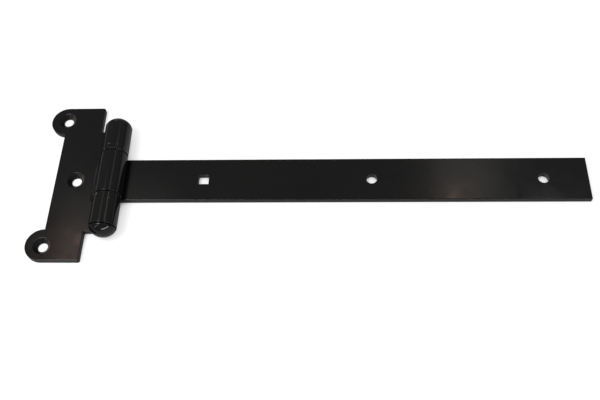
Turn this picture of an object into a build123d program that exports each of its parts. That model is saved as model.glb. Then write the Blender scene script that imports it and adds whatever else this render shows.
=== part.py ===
from build123d import *
from math import asin, degrees
import os

# Heavy cross hinge for a gate: a cross plate for the post, a long strap for the gate,
# and a barrel of three rolled knuckles on one pin, with a domed cap at each end.
# X runs along the strap, Y along the barrel and Z out of the mounting plane. The origin is
# on the mounting plane, under the middle of the barrel. All sizes are in millimetres.

# Flat bar and its rolled knuckles
bar_thickness = 5.0
bore_diameter = 13.0
roll_gap = 0.4
knuckle_gap = 0.8
edge_bevel = 0.5

# Strap
strap_width = 40.0
strap_length = 400.0
square_hole_size = 9.0
square_hole_x = 78.0
round_hole_diameter = 9.0
round_hole_x = 220.5
round_hole_pitch = 142.5

# Cross plate
plate_height = 151.5
plate_outer_edge_x = -50.3
plate_inner_edge_x = -17.6
slot_edge_x = -16.6
plate_corner_radius = 1.5
ear_radius = 14.2
plate_knuckle_length = 28.7

# Screw holes of the cross plate
screw_hole_diameter = 8.5
countersink_diameter = 15.0
countersink_angle = 90.0
ear_hole_pitch = 125.0
middle_hole_x = -32.5

# Hinge pin
pin_clearance = 0.05
pin_end_gap = 0.3
pin_chamfer = 0.8

# Barrel caps
cap_rim_inset = 0.8
cap_rim_height = 0.8
cap_height = 7.6
cap_neck_diameter = 17.0
cap_neck_height = 0.7
cap_spigot_length = 6.0
cap_spigot_clearance = 0.02

# Worked out from the sizes above
bore_radius = bore_diameter / 2
knuckle_radius = bore_radius + bar_thickness
axis_z = knuckle_radius
slot_half_width = strap_width / 2 + knuckle_gap
barrel_half_length = slot_half_width + plate_knuckle_length
ear_y = plate_height / 2 - ear_radius


def rolled_bar(leaf_reach, width):
    """A flat bar along +X whose end is rolled up over the front into an eye."""
    lip_angle = -degrees(asin((bore_radius - roll_gap) / knuckle_radius))
    roll_angle = 270 - lip_angle
    with BuildPart() as bar:
        with BuildSketch(Plane.XZ):
            with BuildLine():
                outside = CenterArc((0, axis_z), knuckle_radius, lip_angle, roll_angle)
                inside = CenterArc((0, axis_z), bore_radius, lip_angle, roll_angle)
                Line(outside @ 0, inside @ 0)
                Polyline(outside @ 1, (leaf_reach, 0), (leaf_reach, bar_thickness), inside @ 1)
            make_face()
        extrude(amount=width / 2, both=True)
    return bar.part


def make_strap():
    """The long strap, with its own knuckle, a square bolt hole and two round ones."""
    with BuildPart() as strap:
        add(rolled_bar(strap_length, strap_width))
        sides = strap.faces().sort_by(Axis.Y)
        end_edges = strap.edges().filter_by(Axis.Y).group_by(Axis.X)[-1]
        chamfer(sides[0].edges() + sides[-1].edges() + end_edges, edge_bevel)
        with BuildSketch(Plane.XY):
            with Locations((square_hole_x, 0)):
                Rectangle(square_hole_size, square_hole_size)
            with Locations((round_hole_x, 0), (round_hole_x + round_hole_pitch, 0)):
                Circle(round_hole_diameter / 2)
        extrude(amount=bar_thickness, mode=Mode.SUBTRACT)
    return strap.part


def plate_outline():
    """Flat shape of the cross plate: a straight band with a round ear at each outer corner.

    The edge between the knuckles is the back of the slot that the strap's knuckle turns in.
    """
    with BuildSketch() as outline:
        with BuildLine():
            Polyline(
                (plate_outer_edge_x, plate_height / 2),
                (plate_inner_edge_x, plate_height / 2),
                (plate_inner_edge_x, slot_half_width),
                (slot_edge_x, slot_half_width),
                (slot_edge_x, -slot_half_width),
                (plate_inner_edge_x, -slot_half_width),
                (plate_inner_edge_x, -plate_height / 2),
                (plate_outer_edge_x, -plate_height / 2),
            )
            CenterArc((plate_outer_edge_x, -ear_y), ear_radius, 90, 180)
            Line(
                (plate_outer_edge_x, ear_radius - ear_y),
                (plate_outer_edge_x, ear_y - ear_radius),
            )
            CenterArc((plate_outer_edge_x, ear_y), ear_radius, 90, 180)
        make_face()
        ends = outline.vertices().group_by(Axis.Y)
        corners = [ends[0].sort_by(Axis.X)[-1], ends[-1].sort_by(Axis.X)[-1]]
        fillet(corners, plate_corner_radius)
    return outline.sketch


def make_frame_plate():
    """The cross plate with its two rolled knuckles and three countersunk screw holes."""
    knuckle_y = slot_half_width + plate_knuckle_length / 2
    knuckle = mirror(rolled_bar(-plate_inner_edge_x, plate_knuckle_length), Plane.YZ)
    with BuildPart() as plate:
        add(plate_outline())
        extrude(amount=bar_thickness)
        with Locations((0, knuckle_y), (0, -knuckle_y)):
            add(knuckle)
        upright_edges = plate.edges().filter_by(Axis.Z)
        rolled_edges = (
            plate.edges()
            .filter_by(Axis.Y)
            .filter_by_position(Axis.X, slot_edge_x, knuckle_radius, (False, True))
        )
        chamfer(plate.edges() - upright_edges - rolled_edges, edge_bevel)
        with Locations(
            (plate_outer_edge_x, ear_hole_pitch / 2, bar_thickness),
            (middle_hole_x, 0, bar_thickness),
            (plate_outer_edge_x, -ear_hole_pitch / 2, bar_thickness),
        ):
            CounterSinkHole(
                screw_hole_diameter / 2,
                countersink_diameter / 2,
                depth=bar_thickness,
                counter_sink_angle=countersink_angle,
            )
    return plate.part


def make_hinge_pin():
    """The round steel pin that the strap turns on, inside all three knuckles."""
    pin_length = 2 * (barrel_half_length - cap_spigot_length - pin_end_gap)
    pin = Cylinder(bore_radius - pin_clearance, pin_length, rotation=(90, 0, 0))
    pin = chamfer(pin.edges().filter_by(GeomType.CIRCLE), pin_chamfer)
    return Pos(0, 0, axis_z) * pin


def make_cap():
    """A domed cap pointing along +Y, with a neck on the knuckle's end and a spigot in its bore."""
    spigot_radius = bore_radius - cap_spigot_clearance
    neck_radius = cap_neck_diameter / 2
    rim_radius = knuckle_radius - cap_rim_inset
    spigot_y = barrel_half_length - cap_spigot_length
    rim_y = barrel_half_length + cap_neck_height
    dome_y = rim_y + cap_rim_height
    dome_height = cap_height - cap_neck_height - cap_rim_height
    dome_radius = (rim_radius**2 + dome_height**2) / (2 * dome_height)
    dome_drop = dome_radius - dome_height
    rim_angle = degrees(asin(dome_drop / dome_radius))
    with BuildPart() as cap:
        with BuildSketch():
            with BuildLine():
                dome = CenterArc((0, dome_y - dome_drop), dome_radius, rim_angle, 90 - rim_angle)
                Polyline(
                    dome @ 1,
                    (0, spigot_y),
                    (spigot_radius, spigot_y),
                    (spigot_radius, barrel_half_length),
                    (neck_radius, barrel_half_length),
                    (neck_radius, rim_y),
                    (rim_radius, rim_y),
                    dome @ 0,
                )
            make_face()
        revolve(axis=Axis.Y)
    return Pos(0, 0, axis_z) * cap.part


upper_cap = make_cap()
nodes = {
    "frame_plate": make_frame_plate(),
    "strap": make_strap(),
    "hinge_pin": make_hinge_pin(),
    "upper_cap": upper_cap,
    "lower_cap": mirror(upper_cap, Plane.XZ),
}

os.makedirs("parts", exist_ok=True)
for name, shape in nodes.items():
    export_step(shape, f"parts/{name}.step")
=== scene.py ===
from math import asin, pi, radians, sqrt

import bmesh
import bpy
from mathutils import Matrix, Vector


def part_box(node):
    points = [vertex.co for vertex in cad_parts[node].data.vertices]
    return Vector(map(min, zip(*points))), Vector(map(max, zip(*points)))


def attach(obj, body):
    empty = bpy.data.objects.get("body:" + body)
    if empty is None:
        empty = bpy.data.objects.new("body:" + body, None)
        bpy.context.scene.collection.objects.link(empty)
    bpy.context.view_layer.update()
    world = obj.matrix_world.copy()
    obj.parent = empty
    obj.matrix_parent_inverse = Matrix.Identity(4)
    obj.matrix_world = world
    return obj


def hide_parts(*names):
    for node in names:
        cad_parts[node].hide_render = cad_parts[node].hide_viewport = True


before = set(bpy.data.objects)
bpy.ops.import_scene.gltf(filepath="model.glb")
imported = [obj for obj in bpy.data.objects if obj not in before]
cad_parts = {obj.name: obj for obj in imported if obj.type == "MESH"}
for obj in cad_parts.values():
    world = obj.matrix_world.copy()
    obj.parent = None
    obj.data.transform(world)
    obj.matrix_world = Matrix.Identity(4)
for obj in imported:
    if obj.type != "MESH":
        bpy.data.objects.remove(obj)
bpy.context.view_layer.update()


# Cross plate
# The plate that is screwed to the post: one piece of 5 mm steel, cut to a band with a round ear
# at each outer corner, punched with three countersunk holes, and rolled up at its inner edge
# into the two outer knuckles of the barrel. The sizes of all the pieces are in millimetres.
mm = 0.001
plate_low, plate_high = (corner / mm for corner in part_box("frame_plate"))
_, strap_high = (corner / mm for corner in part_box("strap"))
barrel_radius = plate_high.x
axis_height = barrel_radius
bar_thickness = 5.0
bore_radius = barrel_radius - bar_thickness
roll_gap = 0.4
lip_drop = asin((bore_radius - roll_gap) / barrel_radius)
roll_turn = 1.5 * pi + lip_drop
roll_steps = 80
edge_round = 0.5
knuckle_gap = 0.8
knuckle_length = 28.7
plate_half = plate_high.y
inner_edge = -17.6
slot_edge = -16.6
outer_edge = -50.3
ear_radius = outer_edge - plate_low.x
ear_centre = plate_half - ear_radius
corner_radius = 1.5
arc_step = radians(5)
knuckle_start = strap_high.y + knuckle_gap
knuckle_end = knuckle_start + knuckle_length
screw_radius = 4.25
countersink_radius = 7.5
ear_hole = 62.5
middle_hole = -32.5
hole_sides = 48
hole_round = 0.2
flat_margin = 1.0
lit_side_offset = 0.2
same_spot = 0.001


def start_mesh():
    """An empty mesh that also marks its rounded edges, its cut walls and the walls painted lighter
    as lit.
    """
    bm = bmesh.new()
    for mark in ("edge_wear", "cut_wall", "lit_wall_paint"):
        bm.faces.layers.float.new(mark)
    return bm


def draw_outline(bm, corners):
    """Draws a closed outline of corners: each a point, and a centre and turn if it is round."""
    ends = []
    for point, *curve in corners:
        start = end = bm.verts.new((*point, 0))
        if curve:
            centre, turn = curve
            arc = bmesh.ops.spin(
                bm, geom=[start], cent=(*centre, 0), axis=(0, 0, 1), angle=turn,
                steps=round(turn / arc_step),
            )
            end = next(v for v in arc["geom_last"] if isinstance(v, bmesh.types.BMVert))
        ends.append((start, end))
    for (_, end), (start, _) in zip(ends, ends[1:] + ends[:1]):
        bm.edges.new((end, start))


def cut_bar(bm, holes):
    """Makes flat bar of an outline, with holes through it, and returns the edges of the holes.

    A hole is its place, its number of sides, and its rings of (height, radius) from the front.
    The walls that face the soft box, towards -X, are marked for painted light: a lighter brown that
    stands for the light falling on them.
    """
    bmesh.ops.contextual_create(bm, geom=bm.edges)
    drawn = bmesh.ops.extrude_face_region(bm, geom=bm.faces[:])
    bmesh.ops.translate(
        bm, vec=(0, 0, bar_thickness),
        verts=[v for v in drawn["geom"] if isinstance(v, bmesh.types.BMVert)],
    )
    bmesh.ops.recalc_face_normals(bm, faces=bm.faces)
    by_slope = sorted(bm.faces, key=lambda face: face.normal.z)
    flats = [by_slope[0], by_slope[-1]]
    bmesh.ops.inset_region(bm, faces=flats, thickness=flat_margin, use_even_offset=True)
    back, front = (list(face.edges) for face in flats)
    bmesh.ops.delete(bm, geom=flats, context="FACES_ONLY")
    rims = []
    for x, y, sides, rings in holes:
        hole = []
        for height, radius in rings:
            place = Matrix.Translation((x, y, height)) @ Matrix.Rotation(pi / sides, 4, "Z")
            ring = bmesh.ops.create_circle(bm, segments=sides, radius=radius, matrix=place)
            hole.append(list({e for v in ring["verts"] for e in v.link_edges}))
        front += hole[0]
        back += hole[-1]
        rims.append(hole)
    for edges in (back, front):
        bmesh.ops.triangle_fill(bm, edges=edges, normal=(0, 0, 1), use_beauty=True)
    walls = []
    for hole in rims:
        for upper, lower in zip(hole, hole[1:]):
            walls += bmesh.ops.bridge_loops(bm, edges=upper + lower)["faces"]
    bmesh.ops.recalc_face_normals(bm, faces=bm.faces)
    cut, lit_wall = (bm.faces.layers.float[mark] for mark in ("cut_wall", "lit_wall_paint"))
    # Painted light: the more a wall faces the soft box, the more of the lighter brown it gets.
    for face in walls:
        face[cut] = 1.0
        face[lit_wall] = min(1.0, max(0.0, -2 * (face.normal.x + lit_side_offset)))
    return [e for hole in rims for ring in hole for e in ring]


def wall_at(bm, x, y):
    """The wall face of a bar that is centred at a place."""
    centre = Vector((x, y, bar_thickness / 2))
    return min(bm.faces, key=lambda face: (face.calc_center_median() - centre).length)


def extend_bar(bm, face, reach):
    """Draws a wall of a bar on along X, and returns it in its new place."""
    drawn = bmesh.ops.extrude_face_region(bm, geom=[face, *face.edges, *face.verts])
    moved = [v for v in drawn["geom"] if isinstance(v, bmesh.types.BMVert)]
    bmesh.ops.translate(bm, verts=moved, vec=(reach, 0, 0))
    return next(f for f in drawn["geom"] if isinstance(f, bmesh.types.BMFace))


def roll_knuckle(bm, face, side):
    """Rolls a bar on from its end wall, up and round the barrel's axis to its lip."""
    bmesh.ops.spin(
        bm, geom=[face, *face.edges, *face.verts], cent=(0, 0, axis_height),
        axis=(0, side, 0), angle=roll_turn, steps=roll_steps,
    )
    bmesh.ops.recalc_face_normals(bm, faces=bm.faces)


def round_over(bm, edges, radius, segments=3):
    """Rounds some edges over, and marks the rounding as an edge that wears."""
    wear = bm.faces.layers.float["edge_wear"]
    rounded = bmesh.ops.bevel(
        bm, geom=edges, offset=radius, segments=segments, profile=0.5,
        affect="EDGES", material=-1, clamp_overlap=True,
    )
    for face in rounded["faces"]:
        face[wear] = 1.0


def sharp_edges(bm, above=radians(30)):
    """The outside edges that shears, saw and punch leave sharp."""
    return [e for e in bm.edges if e.is_manifold and e.calc_face_angle_signed() > above]


def dull_edges(bm, rims):
    """Rounds over the holes' rims a little and the other outside edges more."""
    inside = set(rims)
    outside = [e for e in sharp_edges(bm) if e not in inside]
    round_over(bm, outside, edge_round)
    round_over(bm, rims, hole_round, 2)


def add_object(name, data):
    """Puts a new object into the scene, made of the given mesh, lamp or lens."""
    thing = bpy.data.objects.new(name, data)
    bpy.context.scene.collection.objects.link(thing)
    return thing


def make_object(bm, name):
    """Makes an object of a finished mesh, with its faces shaded smooth."""
    for face in bm.faces:
        face.smooth = True
    mesh = bpy.data.meshes.new(name)
    bm.to_mesh(mesh)
    bm.free()
    return add_object(name, mesh)


def set_up(bm, name, body, slot, *nodes):
    """Makes a finished mesh into a piece that stands for its CAD nodes and rides on their body."""
    bmesh.ops.dissolve_degenerate(bm, edges=bm.edges, dist=same_spot)
    bmesh.ops.recalc_face_normals(bm, faces=bm.faces)
    bmesh.ops.scale(bm, vec=(mm, mm, mm), verts=bm.verts)
    piece = make_object(bm, name)
    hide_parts(*nodes)
    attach(piece, body)
    return piece


def keep_flat(piece):
    """Shades the broad faces of a bar flat right up to their rounded edges."""
    even = piece.modifiers.new("keep_flat", "WEIGHTED_NORMAL")
    even.weight = 100


bm = start_mesh()
corner_x = inner_edge - corner_radius
corner_y = plate_half - corner_radius
draw_outline(bm, (
    ((corner_x, -plate_half), (corner_x, -corner_y), pi / 2),
    ((inner_edge, -knuckle_end),),
    ((slot_edge, -knuckle_end),),
    ((slot_edge, -knuckle_start),),
    ((slot_edge, knuckle_start),),
    ((slot_edge, knuckle_end),),
    ((inner_edge, knuckle_end),),
    ((inner_edge, corner_y), (corner_x, corner_y), pi / 2),
    ((outer_edge, plate_half), (outer_edge, ear_centre), pi),
    ((outer_edge, ear_radius - ear_centre), (outer_edge, -ear_centre), pi),
))
countersink = (
    (bar_thickness, countersink_radius),
    (bar_thickness - countersink_radius + screw_radius, screw_radius),
    (0, screw_radius),
)
rims = cut_bar(bm, [
    (x, y, hole_sides, countersink)
    for x, y in ((outer_edge, ear_hole), (middle_hole, 0), (outer_edge, -ear_hole))
])
for side in (1, -1):
    root = wall_at(bm, slot_edge, side * (knuckle_start + knuckle_end) / 2)
    roll_knuckle(bm, extend_bar(bm, root, -slot_edge), -1)
dull_edges(bm, rims)
cross_plate = set_up(bm, "cross_plate", "post_side", "black_coat", "frame_plate")
keep_flat(cross_plate)


def start_material(name):
    """A new material, with its node tree and its shader."""
    material = bpy.data.materials.new(name)
    material.use_nodes = True
    return material, material.node_tree, material.node_tree.nodes["Principled BSDF"]


def new_node(tree, kind, **settings):
    """Adds a shader node with the given settings."""
    node = tree.nodes.new(kind)
    for name, value in settings.items():
        setattr(node, name, value)
    return node


def place_on(tree):
    """The place of a point on the object, in metres."""
    return new_node(tree, "ShaderNodeTexCoord").outputs["Object"]


def spot(tree, place):
    """The X, Y and Z of a place."""
    parts = new_node(tree, "ShaderNodeSeparateXYZ")
    tree.links.new(place, parts.inputs["Vector"])
    return parts.outputs


def soft_pattern(tree, place, scale, detail):
    """A soft random pattern of the given fineness, in waves per metre."""
    pattern = new_node(tree, "ShaderNodeTexNoise")
    pattern.inputs["Scale"].default_value = scale
    pattern.inputs["Detail"].default_value = detail
    tree.links.new(place, pattern.inputs["Vector"])
    return pattern.outputs["Fac"]


def spread(tree, value, low, high, to_low=0.0, to_high=1.0):
    """Maps the values from low to high on to another range, and holds those beyond at its ends."""
    ramp = new_node(tree, "ShaderNodeMapRange")
    for name, number in (
        ("From Min", low), ("From Max", high), ("To Min", to_low), ("To Max", to_high),
    ):
        ramp.inputs[name].default_value = number
    tree.links.new(value, ramp.inputs["Value"])
    return ramp.outputs["Result"]


def combine(tree, operation, first, second):
    """One sum, product or maximum of two values, either of which may be a plain number."""
    step = new_node(tree, "ShaderNodeMath", operation=operation)
    for socket, value in zip(step.inputs, (first, second)):
        if isinstance(value, float):
            socket.default_value = value
        else:
            tree.links.new(value, socket)
    return step.outputs["Value"]


def mix_colours(tree, share, first, second):
    """A colour between two others."""
    mix = new_node(tree, "ShaderNodeMix", data_type="RGBA")
    tree.links.new(share, mix.inputs["Factor"])
    for socket, colour in ((mix.inputs[6], first), (mix.inputs[7], second)):
        if isinstance(colour, tuple):
            socket.default_value = colour
        else:
            tree.links.new(colour, socket)
    return mix.outputs[2]


def raise_surface(tree, shader, relief, strength, depth):
    """Gives a surface a fine relief, of a depth in millimetres."""
    bump = new_node(tree, "ShaderNodeBump")
    bump.inputs["Strength"].default_value = strength
    bump.inputs["Distance"].default_value = depth * mm
    tree.links.new(relief, bump.inputs["Height"])
    tree.links.new(bump.outputs["Normal"], shader.inputs["Normal"])


chip_reach = 8.0
seam_middle = ((strap_high.y * mm) ** 2, (knuckle_start * mm) ** 2)
seam_reach = ((knuckle_start * mm) ** 2, ((knuckle_start + chip_reach) * mm) ** 2)
roll_heights = (1.1 * bar_thickness * mm, 1.6 * bar_thickness * mm)
warm_patches = (0.38, 0.62)
dull_patches = (0.3, 0.7)
worn_patches = (0.52, 0.66)
nick_grains = (0.60, 0.68)
chip_grains = (0.63, 0.68)
worn_black = (0.03, 0.029, 0.028, 1)
bare_steel = (0.22, 0.21, 0.2, 1)
# Painted light: the lighter brown of the cut walls that face the soft box.
painted_lit_brown = (0.085, 0.073, 0.06, 1)
worn_share = 0.5
worn_roughness = 0.12
cut_roughness = 0.1
roll_polish = 0.85
grit_share = 0.15


def black_coat(name, dark, warm, smooth, rough):
    """Black coating baked on to steel: a slight ripple, uneven gloss, and thin edges with nicks.

    It is glossiest on the rolled knuckles, and chipped where they rub at the seams. Cut walls that
    face the soft box are painted a lighter brown, as if lit by it.
    """
    material, tree, shader = start_material(name)
    place = place_on(tree)
    broad = soft_pattern(tree, place, scale=14.0, detail=3.0)
    cloudy = soft_pattern(tree, place, scale=90.0, detail=4.0)
    ripple = soft_pattern(tree, place, scale=420.0, detail=2.0)
    grit = soft_pattern(tree, place, scale=1500.0, detail=2.0)
    edge, cut, lit_wall = (
        new_node(tree, "ShaderNodeAttribute", attribute_name=mark).outputs["Fac"]
        for mark in ("edge_wear", "cut_wall", "lit_wall_paint")
    )
    here = spot(tree, place)
    rolled = spread(tree, here["Z"], *roll_heights)
    along_squared = combine(tree, "MULTIPLY", here["Y"], here["Y"])
    near_seam = combine(
        tree, "MULTIPLY",
        spread(tree, along_squared, *seam_middle),
        spread(tree, along_squared, *seam_reach, 1.0, 0.0),
    )
    rubbed = combine(tree, "MULTIPLY", rolled, near_seam)
    worn = combine(tree, "MULTIPLY", edge, spread(tree, cloudy, *worn_patches))
    nick = combine(
        tree, "MAXIMUM",
        combine(tree, "MULTIPLY", worn, spread(tree, grit, *nick_grains)),
        combine(tree, "MULTIPLY", rubbed, spread(tree, ripple, *chip_grains)),
    )
    colour = mix_colours(tree, spread(tree, broad, *warm_patches), dark, warm)
    colour = mix_colours(tree, combine(tree, "MULTIPLY", worn, worn_share), colour, worn_black)
    colour = mix_colours(tree, nick, colour, bare_steel)
    # Painted light: cut walls that face the soft box turn lighter brown, as if lit.
    colour = mix_colours(tree, lit_wall, colour, painted_lit_brown)
    tree.links.new(colour, shader.inputs["Base Color"])
    gloss = combine(
        tree, "ADD", spread(tree, cloudy, *dull_patches, smooth, rough),
        combine(tree, "MULTIPLY", worn, worn_roughness),
    )
    gloss = combine(tree, "MULTIPLY", gloss, spread(tree, rolled, 0.0, 1.0, 1.0, roll_polish))
    gloss = combine(tree, "ADD", gloss, combine(tree, "MULTIPLY", cut, cut_roughness))
    tree.links.new(gloss, shader.inputs["Roughness"])
    relief = combine(tree, "ADD", ripple, combine(tree, "MULTIPLY", grit, grit_share))
    raise_surface(tree, shader, relief, strength=0.25, depth=0.03)
    return material


satin_black = black_coat(
    "satin_black", (0.0062, 0.0062, 0.0063, 1), (0.0082, 0.0076, 0.0072, 1), 0.11, 0.18
)
cross_plate.data.materials.append(satin_black)


# Strap
# The long leaf that is bolted to the gate: flat 40 x 5 mm bar, rolled up at one end into the
# middle knuckle, with one square hole for a coach bolt and two round ones on its middle line.
strap_reach = strap_high.x
strap_half = strap_high.y
square_hole = 78.0
square_hole_half = 4.5
round_holes = (220.5, 363.0)
round_hole_radius = 4.5

bm = start_mesh()
draw_outline(bm, (
    ((0, -strap_half),), ((strap_reach, -strap_half),),
    ((strap_reach, strap_half),), ((0, strap_half),),
))
square_rings = [(height, sqrt(2) * square_hole_half) for height in (bar_thickness, 0)]
round_rings = [(height, round_hole_radius) for height in (bar_thickness, 0)]
rims = cut_bar(bm, [
    (square_hole, 0, 4, square_rings),
    *((x, 0, hole_sides, round_rings) for x in round_holes),
])
roll_knuckle(bm, wall_at(bm, 0, 0), 1)
dull_edges(bm, rims)
strap = set_up(bm, "strap_leaf", "gate_side", "black_coat", "strap")
keep_flat(strap)
strap.data.materials.append(satin_black)


# Hinge pin
# A plain round steel bar that the strap turns on. It is turned on a lathe and left bare, and
# shows only as a glint in the seams between the knuckles.
clean_steel = (0.28, 0.28, 0.28, 1)
stained_steel = (0.16, 0.15, 0.14, 1)

turned_steel, tree, shader = start_material("turned_steel")
shader.inputs["Metallic"].default_value = 1.0
place = place_on(tree)
turning = new_node(tree, "ShaderNodeTexWave", bands_direction="Y")
turning.inputs["Scale"].default_value = 900.0
turning.inputs["Distortion"].default_value = 0.6
turning.inputs["Detail"].default_value = 2.0
tree.links.new(place, turning.inputs["Vector"])
stain = soft_pattern(tree, place, scale=120.0, detail=4.0)
colour = mix_colours(tree, spread(tree, stain, 0.4, 0.65), clean_steel, stained_steel)
tree.links.new(colour, shader.inputs["Base Color"])
tree.links.new(spread(tree, stain, 0.3, 0.7, 0.28, 0.45), shader.inputs["Roughness"])
raise_surface(tree, shader, turning.outputs["Fac"], strength=0.3, depth=0.01)
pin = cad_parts["hinge_pin"]
pin.data.materials.clear()
pin.data.materials.append(turned_steel)


# Barrel caps
# Two domed steel caps that close the ends of the barrel: each has a spigot pressed into the
# bore, a narrow neck against the knuckle and a smooth dome, with the glossiest coat of all.
cap_low, cap_high = (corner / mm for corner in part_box("upper_cap"))
cap_rim_inset = 0.8
cap_rim_radius = barrel_radius - cap_rim_inset
cap_rim_height = 0.8
cap_neck_radius = 8.5
cap_neck_height = 0.7
spigot_clearance = 0.02
spigot_radius = bore_radius - spigot_clearance
neck_end = knuckle_end + cap_neck_height
dome_start = neck_end + cap_rim_height
dome_height = cap_high.y - dome_start
dome_radius = (cap_rim_radius ** 2 + dome_height ** 2) / (2 * dome_height)
dome_centre = cap_high.y - dome_radius
dome_spread = asin(cap_rim_radius / dome_radius)
dome_steps = 16
cap_sides = 96
cap_round = 0.25

gloss_black = black_coat(
    "gloss_black", (0.0055, 0.0055, 0.0057, 1), (0.007, 0.0067, 0.0065, 1), 0.07, 0.12
)
for name, node, side in (("cap_upper", "upper_cap", 1), ("cap_lower", "lower_cap", -1)):
    bm = start_mesh()
    crown = bm.verts.new((0, side * cap_high.y, axis_height))
    arc = bmesh.ops.spin(
        bm, geom=[crown], cent=(0, side * dome_centre, axis_height), axis=(0, 0, side),
        angle=-dome_spread, steps=dome_steps,
    )
    rim = next(v for v in arc["geom_last"] if isinstance(v, bmesh.types.BMVert))
    for out, along in (
        (cap_rim_radius, neck_end),
        (cap_neck_radius, neck_end),
        (cap_neck_radius, knuckle_end),
        (spigot_radius, knuckle_end),
        (spigot_radius, cap_low.y),
        (0, cap_low.y),
    ):
        following = bm.verts.new((out, side * along, axis_height))
        bm.edges.new((rim, following))
        rim = following
    bmesh.ops.spin(
        bm, geom=bm.verts[:] + bm.edges[:], cent=(0, 0, axis_height), axis=(0, 1, 0),
        angle=2 * pi, steps=cap_sides, use_merge=True,
    )
    bmesh.ops.remove_doubles(bm, verts=bm.verts, dist=same_spot)
    bmesh.ops.recalc_face_normals(bm, faces=bm.faces)
    round_over(bm, sharp_edges(bm), cap_round, 2)
    cap = set_up(bm, name, "post_side", "gloss_black", node)
    cap.data.materials.append(gloss_black)


# Floor, light and camera
# A pale studio sweep with the hinge lying on it, a soft box above, and the faint windows and
# panels that the glossy coat mirrors. These sizes and places are in metres.
floor_height = -0.05 * mm
floor_reach = 3.2
floor_sides = 96
sweep_radius = 1.0
sweep_steps = 24

bm = bmesh.new()
middle = bm.verts.new((0, 0, floor_height))
foot = bm.verts.new((floor_reach, 0, floor_height))
bm.edges.new((middle, foot))
bmesh.ops.spin(
    bm, geom=[foot], cent=(floor_reach, 0, sweep_radius), axis=(0, 1, 0),
    angle=-pi / 2, steps=sweep_steps,
)
bmesh.ops.spin(
    bm, geom=bm.verts[:] + bm.edges[:], cent=(0, 0, 0), axis=(0, 0, 1), angle=2 * pi,
    steps=floor_sides, use_merge=True,
)
bmesh.ops.remove_doubles(bm, verts=bm.verts, dist=0.01 * mm)
bmesh.ops.recalc_face_normals(bm, faces=bm.faces)
floor = make_object(bm, "floor")

floor_paint = (0.42, 0.42, 0.43, 1)
floor_glow = 0.85
glow_heights = (0.0, 0.6)
mirrored_glow = 0.15
glow_sides = (-0.08, 0.02)
left_glow = 0.1
right_glow = 1.2
shade_reach = 0.05
in_gaps = (0.1, 0.4)
beside_pieces = (0.4, 1.0)
gap_shade = 0.83

pale = bpy.data.materials.new("pale_sweep")
pale.use_nodes = True
tree = pale.node_tree
tree.nodes.clear()
paint = new_node(tree, "ShaderNodeBsdfDiffuse")
paint.inputs["Color"].default_value = floor_paint
seen = new_node(tree, "ShaderNodeLightPath").outputs
# Painted reflection: in glossy rays the floor glows only near the ground, and far more right of the
# hinge than left of it.
mirrored = combine(tree, "ADD", seen["Is Glossy Ray"], seen["Is Transmission Ray"])
ground = spot(tree, place_on(tree))
for share in (
    spread(tree, ground["Z"], *glow_heights, mirrored_glow, 0.0),
    spread(tree, ground["X"], *glow_sides, left_glow, right_glow),
):
    mirrored = combine(tree, "MULTIPLY", mirrored, share)
shown = combine(tree, "ADD", seen["Is Camera Ray"], mirrored)
# Painted shade: the floor's glow is dimmed where the pieces close in on it, almost out in narrow
# gaps and a little beside the pieces.
corner_shade = new_node(tree, "ShaderNodeAmbientOcclusion", samples=8)
corner_shade.inputs["Distance"].default_value = shade_reach
open_air = corner_shade.outputs["AO"]
shade = combine(
    tree, "ADD",
    spread(tree, open_air, *in_gaps, 0.0, gap_shade),
    spread(tree, open_air, *beside_pieces, 0.0, 1.0 - gap_shade),
)
strength = combine(tree, "MULTIPLY", combine(tree, "MULTIPLY", shown, shade), floor_glow)
glow = new_node(tree, "ShaderNodeEmission")
tree.links.new(strength, glow.inputs["Strength"])
both = new_node(tree, "ShaderNodeAddShader")
tree.links.new(paint.outputs["BSDF"], both.inputs[0])
tree.links.new(glow.outputs["Emission"], both.inputs[1])
out = new_node(tree, "ShaderNodeOutputMaterial")
tree.links.new(both.outputs["Shader"], out.inputs["Surface"])
floor.data.materials.append(pale)

room_light = 0.175
world = bpy.data.worlds.new("studio")
world.use_nodes = True
room = world.node_tree.nodes["Background"]
room.inputs["Color"].default_value = (1, 1, 1, 1)
room.inputs["Strength"].default_value = room_light
bpy.context.scene.world = world


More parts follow.
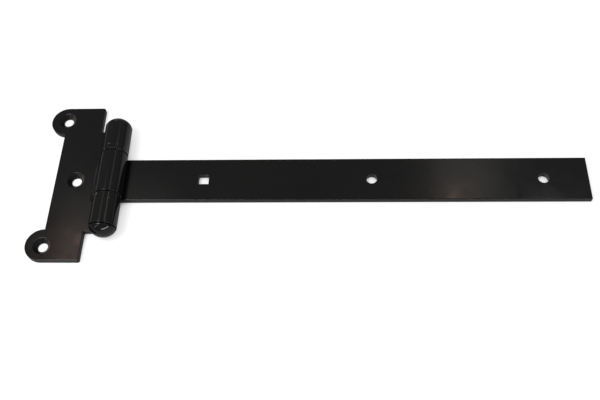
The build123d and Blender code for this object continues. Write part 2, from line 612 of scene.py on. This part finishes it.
def hang_light(name, place, width, height, radiance, colour=(1, 1, 1), aim=(0, 0, 0), lean=0.0):
    """A flat soft light that faces its aim, as bright as the given radiance on its face."""
    lamp = bpy.data.lights.new(name, "AREA")
    lamp.shape = "RECTANGLE"
    lamp.size = width
    lamp.size_y = height
    lamp.energy = radiance * pi * width * height
    lamp.color = colour
    light = add_object(name, lamp)
    facing = (Vector(aim) - Vector(place)).to_track_quat("-Z", "Y").to_matrix().to_4x4()
    light.matrix_world = Matrix.Translation(place) @ facing @ Matrix.Rotation(lean, 4, "Z")


hang_light("soft_box", (-0.5, -0.28, 1.4), width=0.7, height=0.7, radiance=8.0)
for name, x, y, z, width, height, radiance, colour in (
    ("right_panel", 0.54, 0.72, 1.2, 0.18, 0.36, 0.5, (1.0, 0.98, 0.93)),
    ("right_red_panel", 0.505, 0.64, 1.19, 0.06, 0.1, 1.6, (1.0, 0.62, 0.48)),
    ("left_panel", -0.405, 0.47, 1.2, 0.29, 0.44, 0.34, (1.0, 0.97, 0.93)),
    ("left_red_panel", -0.488, 0.42, 1.19, 0.04, 0.28, 3.0, (1.0, 0.6, 0.5)),
    ("lower_window", 0.72, 0.57, 1.18, 0.06, 0.07, 4.5, (1.0, 1.0, 1.0)),
):
    hang_light(name, (x, y, z), width, height, radiance, colour, aim=(x, y, 0))
hang_light("front_window", (0.95, -2.1, 0.48), width=2.3, height=0.26, radiance=7.0)
hang_light(
    "left_window", (-1.0, -1.2, 0.82), width=0.1, height=1.35, radiance=2.2, lean=radians(-30)
)

camera_place = Vector((191.756 * mm, -327.897 * mm, 546.560 * mm))
camera_elevation = radians(60.284)
camera_azimuth = radians(-5.789)
camera_roll = radians(-5.205)
camera = add_object("camera", bpy.data.cameras.new("camera"))
camera.data.lens = 45
camera.data.sensor_width = 36
camera.data.clip_start = 0.01
camera.matrix_world = (
    Matrix.Translation(camera_place)
    @ Matrix.Rotation(-camera_azimuth, 4, "Z")
    @ Matrix.Rotation(pi / 2 - camera_elevation, 4, "X")
    @ Matrix.Rotation(camera_roll, 4, "Z")
)
bpy.context.scene.camera = camera
bpy.context.scene.view_settings.view_transform = "Standard"
